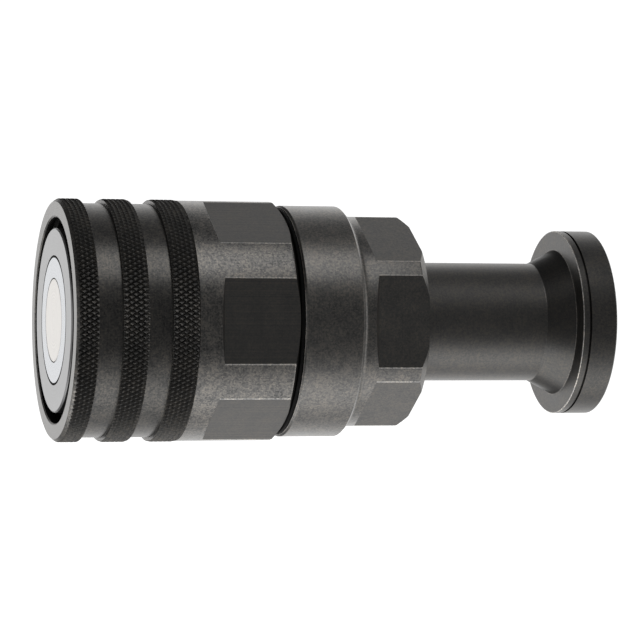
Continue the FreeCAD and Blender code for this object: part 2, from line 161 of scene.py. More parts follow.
class Skin:
    """A surface that is put together ring by ring round the X axis."""

    def __init__(self):
        self.mesh = bmesh.new()

    def ring(self, places):
        """A ring of vertices from (station, radius, angle) places in order of angle."""
        if max(place[1] for place in places) < 1e-6:
            pole = self.mesh.verts.new(point(places[0][0], 0, 0))
            return [(place[2], pole) for place in places]
        return [(place[2], self.mesh.verts.new(point(*place))) for place in places]

    def face(self, corners):
        """One face, without the corners that coincide."""
        kept = [v for i, v in enumerate(corners) if v is not corners[i - 1]]
        if len(kept) > 2:
            self.mesh.faces.new(kept)

    def join(self, first, second):
        """Faces between two rings, four-sided where the rings have the same columns."""
        if len(first) == len(second):
            for i in range(len(first)):
                j = (i + 1) % len(first)
                self.face([first[i][1], first[j][1], second[j][1], second[i][1]])
            return
        self.zip(first, second)

    def zip(self, first, second):
        """Triangles between two rings with different columns."""
        turn = 2 * math.pi
        a = sorted(first, key=lambda item: item[0] % turn)
        b = sorted(second, key=lambda item: item[0] % turn)
        angle_a = [item[0] % turn for item in a] + [a[0][0] % turn + turn]
        angle_b = [item[0] % turn for item in b] + [b[0][0] % turn + turn]
        a.append(a[0])
        b.append(b[0])
        i = 0
        j = 0
        while i < len(a) - 1 or j < len(b) - 1:
            step_a = i < len(a) - 1 and (j == len(b) - 1 or angle_a[i + 1] <= angle_b[j + 1])
            if step_a:
                self.face([a[i][1], a[i + 1][1], b[j][1]])
                i += 1
            else:
                self.face([a[i][1], b[j + 1][1], b[j][1]])
                j += 1

    def extend(self, previous, rings):
        """Joins rings, each a list of places, one after the other; gives the last."""
        for places in rings:
            here = self.ring(places)
            self.join(previous, here)
            previous = here
        return previous

    def finish(self, name):
        """The finished object, smooth except across its sharp edges."""
        bmesh.ops.recalc_face_normals(self.mesh, faces=self.mesh.faces)
        data = bpy.data.meshes.new(name)
        self.mesh.to_mesh(data)
        self.mesh.free()
        data.shade_smooth()
        data.set_sharp_from_angle(angle=math.radians(SHARP_ANGLE))
        made = bpy.data.objects.new(name, data)
        bpy.context.scene.collection.objects.link(made)
        return made


def round_places(station, radius):
    """Places of a plain circular ring."""
    return [(station, radius, 2 * math.pi * i / COLUMNS) for i in range(COLUMNS)]


def round_rings(outline, edge):
    """Places of the circular rings along an open outline, with its edges broken."""
    return [round_places(s, r) for s, r in soften(outline, edge, closed=False)]


def soften(outline, radius, closed=True):
    """An outline of (station, radius[, edge]) corners with each edge broken by a small arc.

    Beside each arc a point is added on the flank, so that smooth shading stays on the arc.
    """
    count = len(outline)
    result = []
    for i, corner in enumerate(outline):
        here = Vector(corner[:2])
        edge = corner[2] if len(corner) > 2 else radius
        ends = not closed and i in (0, count - 1)
        before = Vector(outline[i - 1][:2]) - here
        after = Vector(outline[(i + 1) % count][:2]) - here
        if ends or edge == 0 or before.length == 0 or after.length == 0:
            result.append(tuple(here))
            continue
        turn = math.pi - before.angle(after)
        if turn < math.radians(4):
            result.append(tuple(here))
            continue
        back = min(edge * math.tan(turn / 2), 0.4 * before.length, 0.4 * after.length)
        steps = max(2, round(math.degrees(turn) / 22))
        guard = 0.05 * min(before.length, after.length, 1.0)
        start = here + before.normalized() * back
        end = here + after.normalized() * back
        result.append(tuple(start + before.normalized() * guard))
        for step in range(steps + 1):
            t = step / steps
            curve = (1 - t) ** 2 * start + 2 * t * (1 - t) * here + t ** 2 * end
            result.append(tuple(curve))
        result.append(tuple(end + after.normalized() * guard))
    return result


def arc(centre, radius, first, last, steps):
    """Points on an arc in the (station, radius) plane, angles in degrees."""
    points = []
    for i in range(steps + 1):
        angle = math.radians(first + (last - first) * i / steps)
        points.append((centre[0] + radius * math.cos(angle), centre[1] + radius * math.sin(angle), 0))
    return points


def turned(name, outline, edge):
    """A closed solid of revolution."""
    skin = Skin()
    rings = [skin.ring(round_places(s, r)) for s, r in soften(outline, edge)]
    for i, ring in enumerate(rings):
        on_axis = ring[0][1] is ring[1][1] and rings[i - 1][0][1] is rings[i - 1][1][1]
        if not on_axis:
            skin.join(rings[i - 1], ring)
    return skin.finish(name)


def open_axis_turned(name, outline, edge):
    """A solid of revolution whose outline starts and ends on the axis."""
    skin = Skin()
    rings = [skin.ring(places) for places in round_rings(outline, edge)]
    for before, after in zip(rings, rings[1:]):
        skin.join(before, after)
    return skin.finish(name)


FLAT_COLUMNS = 14
CORNER_COLUMNS = 10
EDGE_BREAK = math.radians(0.3)
WEAR_AND_HIGHLIGHT_EDGE = 0.3             # degrees round the axis, each side of a flat's edge, painted lighter as wear and as a painted highlight


def flatted_places(station, radius, flat):
    """Places of a ring with SIDES flats at a distance from the axis, edges broken."""
    half = math.acos(min(1.0, flat / radius))
    sector = math.pi / SIDES
    break_angle = min(EDGE_BREAK, 0.4 * half)
    offsets = []
    for i in range(FLAT_COLUMNS):
        offsets.append((half - 1.6 * break_angle) * i / (FLAT_COLUMNS - 1))
    offsets.append(half - break_angle)
    flat_count = len(offsets)
    offsets.append(half)
    offsets.append(half + break_angle)
    start = half + 1.6 * break_angle
    for i in range(CORNER_COLUMNS):
        offsets.append(start + (sector - start) * i / CORNER_COLUMNS)
    places = []
    chord = (flat / math.cos(half - break_angle) + radius) / 2
    for side in range(SIDES):
        middle = side * 2 * sector
        rising = []
        for i, offset in enumerate(offsets):
            if i < flat_count:
                reach = flat / math.cos(offset)
            elif i == flat_count:
                reach = 0.5 * (radius + chord)
            else:
                reach = radius
            rising.append((offset, reach))
        falling = [(-offset, reach) for offset, reach in reversed(rising[1:])]
        corner = (sector, radius)
        for offset, reach in falling + rising + [corner]:
            places.append((station, reach, middle + offset))
    return places


def flat_run_in(radius, flat, start, steps):
    """(station, depth) steps down the leaning front wall of the flats to the flat itself.

    A depth is how far from the axis the wall is in the middle of a side.
    """
    full = math.acos(flat / radius)
    rings = []
    for i in range(1, steps + 1):
        half = full * i / steps
        level = radius * math.cos(half)
        rings.append((start - (level - flat) * WALL_SLOPE, level))
    return rings


def chamfered_flats(skin, previous, start, end, flat):
    """Surface with flats up to a chamfer that they run out over; gives the chamfer's last ring."""
    first_station, first_radius = start
    slope = (end[0] - first_station) / (first_radius - end[1])
    edge = first_radius - 0.1
    steps = 12
    outline = [
        (first_station - 0.25, first_radius),
        (first_station - 0.05, first_radius - 0.01),
        (first_station + 0.1 * slope, edge),
    ]
    widest = math.acos(flat / edge)
    narrowest = math.acos(min(1.0, flat / end[1]))
    for i in range(1, steps):
        reach = flat / math.cos(widest + (narrowest - widest) * i / steps)
        outline.append((first_station + slope * (first_radius - reach), reach))
    return skin.extend(previous, (flatted_places(s, r, flat) for s, r in outline))


# ---- Knurl ---------------------------------------------------------------------------


def knurl_patch(skin, start, end, radius, chamfer):
    """Diamond knurl between two stations; returns its boundary rings."""
    half_turn = math.pi / KNURL_COUNT
    half_step = radius * half_turn / math.tan(math.radians(30))
    rows = int((end - start) / half_step) + 4
    middle = (start + end) / 2
    base = {}

    def corner(row, column):
        key = (row, column % (2 * KNURL_COUNT))
        if key not in base:
            station = middle + row * half_step
            base[key] = patch.verts.new(point(station, radius - KNURL_DEPTH, key[1] * half_turn))
        return base[key]

    patch = bmesh.new()
    for row in range(-rows // 2, rows // 2 + 1):
        for column in range(row % 2, 2 * KNURL_COUNT, 2):
            station = middle + row * half_step
            angle = column * half_turn
            ends = [
                corner(row - 1, column),
                corner(row, column + 1),
                corner(row + 1, column),
                corner(row, column - 1),
            ]
            tops = [
                patch.verts.new(point(station - KNURL_TOP * half_step, radius, angle)),
                patch.verts.new(point(station, radius, angle + KNURL_TOP * half_turn)),
                patch.verts.new(point(station + KNURL_TOP * half_step, radius, angle)),
                patch.verts.new(point(station, radius, angle - KNURL_TOP * half_turn)),
            ]
            patch.faces.new(tops)
            for i in range(4):
                j = (i + 1) % 4
                patch.faces.new([ends[i], ends[j], tops[j], tops[i]])
    for station, outward in ((start, -1), (end, 1)):
        everything = list(patch.verts) + list(patch.edges) + list(patch.faces)
        bmesh.ops.bisect_plane(
            patch,
            geom=everything,
            dist=1e-7,
            plane_co=point(station, 0, 0),
            plane_no=Vector((outward, 0, 0)),
            clear_outer=True,
        )
    copied = {}
    rings = []
    for vertex in patch.verts:
        station = vertex.co.x / MM - FRONT_X
        reach = math.hypot(vertex.co.y, vertex.co.z) / MM
        depth = chamfer - min(station - start, end - station)
        limit = radius - max(0.0, depth)
        if reach > limit:
            vertex.co.y *= limit / reach
            vertex.co.z *= limit / reach
        copied[vertex] = skin.mesh.verts.new(vertex.co)
    for face in patch.faces:
        skin.mesh.faces.new([copied[v] for v in face.verts])
    for station in (start, end):
        x = (FRONT_X + station) * MM
        loop = [v for v in patch.verts if abs(v.co.x - x) < 1e-7]
        rings.append([(math.atan2(v.co.z, -v.co.y), copied[v]) for v in loop])
    patch.free()
    return rings


# ---- Locking sleeve ------------------------------------------------------------------


def thread_radius(station, angle):
    """Radius of the right-hand trapezoidal thread in the sleeve's bore."""
    phase = ((station - THREAD_START) / THREAD_PITCH - angle / (2 * math.pi)) % 1.0
    distance = abs(phase - 0.5) * THREAD_PITCH
    crest = 0.15 * THREAD_PITCH
    root = 0.32 * THREAD_PITCH
    rise = min(1.0, max(0.0, (root - distance) / (root - crest)))
    fade = min(1.0, max(0.0, (station - THREAD_START + 1.2) / 1.6))
    return THREAD_MINOR_R + (THREAD_MAJOR_R - THREAD_MINOR_R) * rise * fade


def locking_sleeve():
    """Turning sleeve with knurled bands, spanner flats and an internal thread."""
    skin = Skin()
    front = [
        (0.35, THREAD_MINOR_R),
        (0.0, THREAD_MINOR_R + 0.4, 0.08),
        (0.0, SLEEVE_FACE_R, 0.1),
        (*FRONT_BEVEL_END, 0.05),
    ]
    start = skin.ring(round_places(0.9, THREAD_MINOR_R))
    previous = skin.extend(start, round_rings(front, 0.1))
    for index, (band_start, band_end) in enumerate(KNURL_BANDS):
        first, last = knurl_patch(skin, band_start, band_end, SLEEVE_R, KNURL_CHAMFER)
        skin.zip(previous, first)
        if index + 1 == len(KNURL_BANDS):
            break
        next_start = KNURL_BANDS[index + 1][0]
        corners = [
            (band_end, SLEEVE_GROOVE_R + 0.5),
            (band_end, SLEEVE_GROOVE_R),
            (next_start, SLEEVE_GROOVE_R),
            (next_start, SLEEVE_GROOVE_R + 0.5),
        ]
        rings = [skin.ring(places) for places in round_rings(corners, 0.12)]
        skin.zip(last, rings[0])
        for before, after in zip(rings, rings[1:]):
            skin.join(before, after)
        previous = rings[-1]
    shoulder = skin.ring(round_places(band_end + 0.05, SLEEVE_PLAIN_R - 0.25))
    skin.zip(last, shoulder)
    plain = (band_end + 0.25, band_end + 0.5, SLEEVE_FLATS_START - 2.2)
    previous = skin.extend(shoulder, (round_places(s, SLEEVE_PLAIN_R) for s in plain))
    flats = flat_run_in(SLEEVE_PLAIN_R, SLEEVE_FLAT, SLEEVE_FLATS_START, 9)
    flats.append((SLEEVE_FLATS_START + 0.06, SLEEVE_FLAT))
    previous = skin.extend(previous, (flatted_places(s, SLEEVE_PLAIN_R, depth) for s, depth in flats))
    chamfer_start = (REAR_CHAMFER_START, SLEEVE_PLAIN_R)
    last = chamfered_flats(skin, previous, chamfer_start, (SLEEVE_END, REAR_CHAMFER_R), SLEEVE_FLAT)
    previous = skin.ring(round_places(SLEEVE_END - 0.02, REAR_CHAMFER_R + 0.02))
    skin.zip(last, previous)
    bore = [
        (SLEEVE_END, SLEEVE_BACK_R),
        (SLEEVE_END, LIP_R + 0.4),
        (SLEEVE_END - 0.4, LIP_R),
        (LIP_START, LIP_R),
        (LIP_START, THREAD_MINOR_R),
        (RELIEF_END + 0.8, THREAD_MINOR_R),
        (RELIEF_END, RELIEF_R),
        (RELIEF_START, RELIEF_R),
        (RELIEF_START - 0.2, THREAD_MAJOR_R),
    ]
    previous = skin.extend(previous, round_rings(bore, 0.1))
    steps = 56
    for i in range(steps + 1):
        s = THREAD_END - (THREAD_END - PLAIN_BORE_END) * i / steps
        places = [(s, thread_radius(s, a), a) for _, _, a in round_places(s, 1)]
        previous = skin.extend(previous, [places])
    skin.join(previous, start)
    return skin.finish("locking_sleeve_turned")


# ---- Body, collar, neck and flange -----------------------------------------------------


def main_body():
    """Plain ring behind the sleeve, with the spigot that carries it."""
    along, down = BODY_FRONT_CHAMFER
    return turned("main_body_turned", [
        (SPIGOT_START, SPIGOT_BORE_R), (SPIGOT_START, SPIGOT_R - 0.05),
        (SPIGOT_STEP, SPIGOT_R - 0.05), (SPIGOT_STEP, SPIGOT_R), (BODY_START, SPIGOT_R),
        (BODY_START, BODY_R - down, 0.2), (BODY_START + along, BODY_R, 0.15),
        (BODY_END - BODY_BACK_CHAMFER, BODY_R, 0.15), (BODY_END, BODY_R - BODY_BACK_CHAMFER, 0.1),
        (BODY_END, SOCKET_R), (SOCKET_END, SOCKET_R), (SOCKET_END, SOCKET_BORE_R),
        (SPRING_SEAT, SOCKET_BORE_R), (SPRING_SEAT, SPIGOT_BORE_R),
    ], 0.12)


def flange_adapter():
    """Collar with spanner flats, neck, flare and grooved flange head."""
    skin = Skin()
    fillet_centre = (BODY_END + COLLAR_FILLET, COLLAR_R + COLLAR_FILLET)
    collar = [
        (BODY_END, SOCKET_R), (BODY_END, COLLAR_R + COLLAR_FILLET, 0),
        *arc(fillet_centre, COLLAR_FILLET, 180, 270, 10)[1:],
        (COLLAR_FLATS_START - 2.4, COLLAR_R),
    ]
    neck_centre = (COLLAR_END + NECK_FILLET, NECK_R + NECK_FILLET)
    neck = [
        (COLLAR_END, NECK_FILLET_RIM), (COLLAR_END, NECK_R + NECK_FILLET, 0),
        *arc(neck_centre, NECK_FILLET, 180, 270, 5),
    ]
    flare = [(FLARE_START, NECK_R, 0.6), (FLANGE_START, FLARE_R, 0.3)]
    groove_end = RIM_GROOVE_START + RIM_GROOVE_WIDTH
    groove_r = FLANGE_R - RIM_GROOVE_DEPTH
    rim = [
        (FLANGE_START, FLANGE_R, 0.22),
        (RIM_GROOVE_START, FLANGE_R, 0.08), (RIM_GROOVE_START, groove_r, 0.05),
        (groove_end, groove_r, 0.05), (groove_end, FLANGE_R, 0.08),
    ]
    seal_floor = LENGTH - SEAL_GROOVE_DEPTH
    head = [
        (LENGTH - 0.35, FLANGE_R), (LENGTH, FLANGE_R - 0.35), (LENGTH, SEAL_GROOVE_OUTER_R, 0.1),
        (seal_floor, SEAL_GROOVE_OUTER_R, 0.3), (seal_floor, SEAL_GROOVE_INNER_R, 0.3),
        (LENGTH, SEAL_GROOVE_INNER_R, 0.1), (LENGTH, PORT_R + 0.3), (LENGTH - 0.3, PORT_R),
    ]
    bore = [
        (PORT_START, PORT_R), (CHAMBER_END, CHAMBER_R), (ADAPTER_START, CHAMBER_R),
        (ADAPTER_START, SOCKET_BORE_R), (SOCKET_END, SOCKET_BORE_R), (SOCKET_END, SOCKET_R),
    ]
    first_rings = [skin.ring(places) for places in round_rings(collar, 0.1)]
    for before, after in zip(first_rings, first_rings[1:]):
        skin.join(before, after)
    flats = flat_run_in(COLLAR_R, COLLAR_FLAT, COLLAR_FLATS_START, 11)
    flats.append((COLLAR_FLATS_START + 0.06, COLLAR_FLAT))
    previous = skin.extend(first_rings[-1], (flatted_places(s, COLLAR_R, depth) for s, depth in flats))
    chamfer_start = (COLLAR_CHAMFER_START, COLLAR_R)
    previous = chamfered_flats(skin, previous, chamfer_start, (COLLAR_END, COLLAR_END_R), COLLAR_FLAT)
    previous = skin.extend(previous, [
        flatted_places(COLLAR_END - 0.05, COLLAR_END_R + 0.03, COLLAR_FLAT),
        flatted_places(COLLAR_END, COLLAR_END_R - 0.1, COLLAR_FLAT - 0.08),
    ])
    rest = [(COLLAR_END, COLLAR_BACK_R), *neck, *flare, *rim, *head, *bore]
    rings = [skin.ring(places) for places in round_rings(rest, 0.12)]
    skin.zip(previous, rings[0])
    for before, after in zip(rings, rings[1:]):
        skin.join(before, after)
    skin.join(rings[-1], first_rings[0])
    return skin.finish("flange_adapter_turned")


def sleeve_wiper_ring():
    """Rubber ring with a rounded crown."""
    width = BODY_START - WIPER_START
    crown = []
    for i in range(11):
        angle = math.pi * i / 10
        station = WIPER_START + width * (0.5 - 0.5 * math.cos(angle))
        crown.append((station, WIPER_SHOULDER_R + WIPER_CROWN * math.sin(angle), 0))
    outline = [(WIPER_START, SPIGOT_R), *crown, (BODY_START, SPIGOT_R)]
    return turned("sleeve_wiper_ring_moulded", outline, 0)


# ---- Flush face ------------------------------------------------------------------------


def valve_sleeve():
    """Sliding valve ring, flush with the sleeve, with its seal groove and tube."""
    return turned("valve_sleeve_turned", [
        (0, 18.5), (0, 25.9, 0.1), (0.4, 26.3, 0.1), (17.6, 26.3), (17.6, 23.7), (21.6, 23.7), (21.6, 26.3),
        (24.0, 26.3), (24.0, 19.6), (43.2, 19.6), (44.0, 18.8), (44.0, 16.5), (7.32, 16.5), (6.1, 18.08),
        (0.55, 18.08),
    ], 0.1)


def stem_cap():
    """Bright fixed ring of the flush head."""
    return turned("stem_cap_turned", [
        (0, 12.1), (0, 17.8), (0.2, 18.0), (2.0, 18.0), (2.0, 16.3), (4.4, 16.3), (4.4, 18.0), (6.0, 18.0),
        (6.0, 15.0), (2.2, 15.0), (2.2, 11.95), (0.15, 11.95),
    ], 0.06)


def relief_plunger():
    """Centre disc that gives way first."""
    return open_axis_turned("relief_plunger_turned", [
        (0, 0), (0, 11.7), (0.15, 11.85), (2.5, 11.85), (2.5, 13.2), (4.6, 13.2), (4.6, 3.0), (33.5, 3.0),
        (34.0, 2.5), (34.0, 0),
    ], 0.06)


def flange_o_ring():
    """Face seal in the flange."""
    middle = (18.5 + SEAL_GROOVE_OUTER_R) / 2
    half_height = 1.36
    half_width = 1.92
    points = []
    for i in range(24):
        angle = 2 * math.pi * i / 24
        bulge = math.copysign(abs(math.cos(angle)) ** 0.6, math.cos(angle))
        width = math.copysign(abs(math.sin(angle)) ** 0.6, math.sin(angle))
        points.append((LENGTH - 1.43 + half_height * bulge, middle + half_width * width, 0))
    return turned("flange_o_ring_moulded", points, 0)


def spring(name, start, end, wire, mean_radius, turns):
    """A compression spring of round wire with its ends closed."""
    skin = Skin()
    along = 44
    around = 12
    gap = wire / 2 + 0.1
    dead = 0.9                  # turns that lie closed at each end
    dead_pitch = wire * 1.02
    live_pitch = (end - start - 2 * gap - 2 * dead * dead_pitch) / (turns - 2 * dead)
    total = int(turns * along)
    rings = []
    for i in range(total + 1):
        turn = i / along
        low = min(turn, dead) * dead_pitch
        mid = max(0.0, min(turn, turns - dead) - dead) * live_pitch
        high = max(0.0, turn - (turns - dead)) * dead_pitch
        station = start + gap + low + mid + high
        angle = 2 * math.pi * turn
        ring = []
        for k in range(around):
            side = 2 * math.pi * k / around
            reach = mean_radius + wire / 2 * math.cos(side)
            place = point(station + wire / 2 * math.sin(side), reach, angle)
            ring.append((side, skin.mesh.verts.new(place)))
        rings.append(ring)
    for before, after in zip(rings, rings[1:]):
        skin.join(before, after)
    skin.mesh.faces.new([v for _, v in rings[0]])
    skin.mesh.faces.new([v for _, v in reversed(rings[-1])])
    return skin.finish(name)


# ---- Materials -------------------------------------------------------------------------


class Look:
    """A material whose Principled shader is driven by procedural nodes."""

    def __init__(self, name, metallic=1.0, specular=0.5):
        self.material = bpy.data.materials.new(name)
        self.material.use_nodes = True
        self.tree = self.material.node_tree
        self.shader = self.tree.nodes["Principled BSDF"]
        self.shader.inputs["Metallic"].default_value = metallic
        self.shader.inputs["Specular IOR Level"].default_value = specular
        place = self.node("ShaderNodeTexCoord")
        self.place = place.outputs["Object"]
        split = self.node("ShaderNodeSeparateXYZ")
        self.link(self.place, split.inputs[0])
        self.x, self.y, self.z = split.outputs

    def node(self, kind, **values):
        made = self.tree.nodes.new(kind)
        for key, value in values.items():
            setattr(made, key, value)
        return made

    def link(self, source, target):
        self.tree.links.new(source, target)

    def math(self, operation, *values):
        """A maths node on numbers or sockets."""
        made = self.node("ShaderNodeMath", operation=operation)
        for socket, value in zip(made.inputs, values):
            if isinstance(value, (int, float)):
                socket.default_value = value
            else:
                self.link(value, socket)
        return made.outputs[0]

    def grain(self, size, detail=3.0, roughness=0.6):
        """Even noise whose blobs are about size millimetres across, from 0 to 1."""
        made = self.node("ShaderNodeTexNoise", noise_dimensions="3D")
        made.inputs["Scale"].default_value = 1 / (size * MM)
        made.inputs["Detail"].default_value = detail
        made.inputs["Roughness"].default_value = roughness
        self.link(self.place, made.inputs["Vector"])
        return made.outputs["Fac"]

    def lines(self, coordinate, size):
        """Noise along one coordinate, as a cutting tool leaves it."""
        made = self.node("ShaderNodeTexNoise", noise_dimensions="1D")
        made.inputs["Scale"].default_value = 1 / (size * MM)
        made.inputs["Detail"].default_value = 3.0
        self.link(coordinate, made.inputs["W"])
        return made.outputs["Fac"]

    def crystals(self, size):
        """Small flat cells of random brightness, from 0 to 1."""
        made = self.node("ShaderNodeTexVoronoi", feature="F1")
        made.inputs["Scale"].default_value = 1 / (size * MM)
        self.link(self.place, made.inputs["Vector"])
        split = self.node("ShaderNodeSeparateColor")
        self.link(made.outputs["Color"], split.inputs[0])
        return split.outputs[0]

    def scratches(self, length, width):
        """Streaks along X that are narrow round the axis, from 0 to 1; sizes in millimetres."""
        place = self.node("ShaderNodeCombineXYZ")
        self.link(self.math("MULTIPLY", self.x, 1 / (length * MM)), place.inputs["X"])
        self.link(self.around(SLEEVE_R / width), place.inputs["Y"])
        made = self.node("ShaderNodeTexNoise", noise_dimensions="2D")
        made.inputs["Scale"].default_value = 1.0
        made.inputs["Detail"].default_value = 3.0
        self.link(place.outputs[0], made.inputs["Vector"])
        return made.outputs["Fac"]

    def distance(self):
        """Distance from the coupler's axis."""
        y_squared = self.math("MULTIPLY", self.y, self.y)
        z_squared = self.math("MULTIPLY", self.z, self.z)
        return self.math("SQRT", self.math("ADD", y_squared, z_squared))

    def around(self, radius):
        """Length round the axis at a radius in metres."""
        return self.math("MULTIPLY", self.math("ARCTAN2", self.z, self.y), radius)

    def blend(self, low, high, amount):
        """A value that goes from low to high as amount goes from 0 to 1."""
        made = self.node("ShaderNodeMapRange")
        self.link(amount, made.inputs["Value"])
        made.inputs["To Min"].default_value = low
        made.inputs["To Max"].default_value = high
        return made.outputs[0]

    def colour(self, stops, amount):
        """Base colour from (position, (r, g, b)) stops."""
        ramp = self.node("ShaderNodeValToRGB")
        elements = ramp.color_ramp.elements
        while len(elements) < len(stops):
            elements.new(0.5)
        for element, (position, colour) in zip(elements, stops):
            element.position = position
            element.color = (*colour, 1)
        self.link(amount, ramp.inputs[0])
        self.link(ramp.outputs[0], self.shader.inputs["Base Color"])

    def roughness(self, low, high, amount):
        self.link(self.blend(low, high, amount), self.shader.inputs["Roughness"])

    def bump(self, height, depth):
        """Relief of a depth in millimetres; calls add up."""
        made = self.node("ShaderNodeBump")
        made.inputs["Strength"].default_value = 1.0
        made.inputs["Distance"].default_value = depth * MM
        self.link(height, made.inputs["Height"])
        normal = self.shader.inputs["Normal"]
        if normal.is_linked:
            self.link(normal.links[0].from_socket, made.inputs["Normal"])
        self.link(made.outputs[0], normal)


def mixed(look, parts):
    """Weighted sum of (weight, socket) pairs."""
    total = None
    for weight, socket in parts:
        share = look.math("MULTIPLY", socket, weight)
        total = share if total is None else look.math("ADD", total, share)
    return total


def grey(value, tint=(1.0, 1.0, 1.0)):
    return tuple(value * part for part in tint)


WARM = (1.02, 1.0, 0.97)
RUSTY = (1.09, 1.0, 0.88)


def phosphate(name, value, spread=0.3, rough=(0.28, 0.42), tool=None, tool_depth=0.004, grain_depth=0.006):
    """Dark phosphated steel: crystals in worn patches, over tool marks and fine scratches.

    The colour goes from a share, spread, under value to 1.3 times that share over it.
    """
    look = Look(name)
    crystals = look.crystals(0.42)
    fine = look.grain(0.7, 5.0, 0.75)
    cloud = look.grain(5.0, 4.0, 0.65)
    scratches = look.scratches(7.0, 0.3)
    parts = [(0.22, crystals), (0.34, fine), (0.32, cloud), (0.12, scratches)]
    if tool == "turned":
        marks = look.lines(look.x, 0.45)
        parts = [(0.2, crystals), (0.28, fine), (0.3, cloud), (0.1, scratches), (0.12, marks)]
    if tool == "milled":
        marks = look.lines(look.around(SLEEVE_FLAT * MM), 0.5)
        parts = [(0.14, crystals), (0.24, fine), (0.22, cloud), (0.4, marks)]
    amount = mixed(look, parts)
    dark = grey(value * (1 - spread))
    middle = grey(value * (1 - 0.05 * spread), WARM)
    light = grey(value * (1 + 1.3 * spread), RUSTY)
    look.colour([(0.3, dark), (0.48, middle), (0.7, light)], amount)
    look.roughness(rough[0], rough[1], cloud)
    look.bump(fine, grain_depth)
    if tool:
        look.bump(marks, tool_depth)
    return look.material


def bare_steel(name, value, rough, tint=(1.0, 1.0, 1.0), size=0.3, depth=0.003):
    """Machined steel with fine concentric turning marks."""
    look = Look(name)
    marks = look.lines(look.distance(), size)
    cloud = look.grain(4.0, 3.0)
    amount = mixed(look, [(0.6, marks), (0.4, cloud)])
    look.colour([(0.3, grey(value * 0.86, tint)), (0.7, grey(value, tint))], amount)
    look.roughness(rough - 0.05, rough + 0.06, cloud)
    look.bump(marks, depth)
    return look.material


def rubber(name):
    look = Look(name, metallic=0.0, specular=0.1)
    fine = look.grain(0.2, 3.0)
    cloud = look.grain(3.0, 2.0)
    look.colour([(0.3, grey(0.003)), (0.7, grey(0.007))], cloud)
    look.roughness(0.55, 0.7, fine)
    look.bump(fine, 0.004)
    return look.material


def plastic(name):
    look = Look(name, metallic=0.0)
    cloud = look.grain(2.0, 3.0)
    look.colour([(0.3, (0.72, 0.69, 0.62)), (0.7, (0.8, 0.77, 0.7))], cloud)
    look.roughness(0.35, 0.5, cloud)
    look.bump(cloud, 0.003)
    return look.material


def drawn_wire(name):
    look = Look(name)
    fine = look.grain(0.25, 3.0)
    look.colour([(0.3, grey(0.25)), (0.7, grey(0.38))], fine)
    look.roughness(0.25, 0.4, fine)
    look.bump(fine, 0.003)
    return look.material


# ---- Camera, light and floor -------------------------------------------------------------

# Brightness of the surroundings, by elevation in degrees seen along the coupler's axis:
# 0 is the camera's side, 90 is straight up, -90 is straight down, 180 is behind.
BRIGHTNESS_ROUND = (
    (-180, 1.0),
    (-158, 1.35),
    (-138, 1.2),
    (-124, 0.75),
    (-112, 0.5),
    (-102, 0.65),
    (-92, 1.1),
    (-78, 1.35),
    (-66, 1.05),
    (-54, 0.5),
    (-44, 0.2),
    (-34, 0.12),
    (0, 0.12),
    (34, 0.12),
    (90, 0.16),
    (112, 0.22),
    (124, 0.4),
    (136, 0.9),
    (152, 1.35),
    (180, 1.0),
)
# Parts of the surroundings with a brightness of their own. Each has its level, then where
# along the direction's X, Y and Z parts the change to it starts and is complete.
ZONES = (
    (0.1, (("X", -0.45, -0.7), ("Y", 0.45, 0.15))),
    (0.6, (("X", -0.9, -0.98), ("Y", 0.45, 0.15))),
    (0.8, (("X", 0.75, 0.97),)),
    (0.12, (("X", 0.2, 0.05), ("Y", 0.4, 0.65), ("Z", 0.2, 0.4))),
    (0.2, (("X", 0.2, 0.05), ("Y", 0.4, 0.65), ("Z", -0.2, -0.4))),
    (0.06, (("X", 0.2, 0.0), ("Z", 0.3, 0.6))),
    (1.7, (("X", 0.1, -0.15), ("Z", -0.6, -0.8), ("Y", 0.6, 0.4))),
)
CAMERA_SWING = 15.656       # degrees from side on, towards the coupling face
CAMERA_ROLL = 0.213         # degrees
CAMERA_DISTANCE = 914.0
CAMERA_AIM = (FRONT_X + 78.65, 0, 0.357)
CAMERA_LENS = 176.7
ROOM = 4.0                  # from here on, lengths are in metres
FLOOR_Z = -0.16
SOFTBOX_ELEVATION = math.radians(56)
SOFTBOX_DISTANCE = 0.5
SOFTBOX_ALONG = 0.27        # share of its direction that lies along X, and the share across
SOFTBOX_ACROSS = 0.963
SOFTBOX_LIT_TO = 100.0      # station, so in millimetres, up to which it is seen reflected
SOFTBOX_SIZE = (0.24, 0.25)
SOFTBOX_POWER = 0.26


def camera():
    """The view: almost side on, swung towards the coupling face, at the axis's height."""
    swing = math.radians(CAMERA_SWING)
    back = Vector((-math.sin(swing), -math.cos(swing), 0))
    data = bpy.data.cameras.new("camera")
    data.sensor_width = 36
    data.lens = CAMERA_LENS
    data.clip_start = 0.01
    data.clip_end = 50
    made = bpy.data.objects.new("camera", data)
    bpy.context.scene.collection.objects.link(made)
    upright = Matrix.Rotation(-swing, 4, "Z") @ Matrix.Rotation(math.pi / 2, 4, "X")
    roll = Matrix.Rotation(math.radians(CAMERA_ROLL), 4, "Z")
    place = (Vector(CAMERA_AIM) + back * CAMERA_DISTANCE) * MM
    made.matrix_world = Matrix.Translation(place) @ upright @ roll
    bpy.context.scene.camera = made


def area_light(name, place, target, size, power):
    """A rectangular soft light that faces its target; sizes in metres."""
    data = bpy.data.lights.new(name, "AREA")
    data.shape = "RECTANGLE"
    data.size, data.size_y = size
    data.energy = power
    made = bpy.data.objects.new(name, data)
    bpy.context.scene.collection.objects.link(made)
    place = Vector(place)
    facing = (Vector(target) - place).normalized()
    turn = facing.to_track_quat("-Z", "Z").to_matrix().to_4x4()
    made.matrix_world = Matrix.Translation(place) @ turn


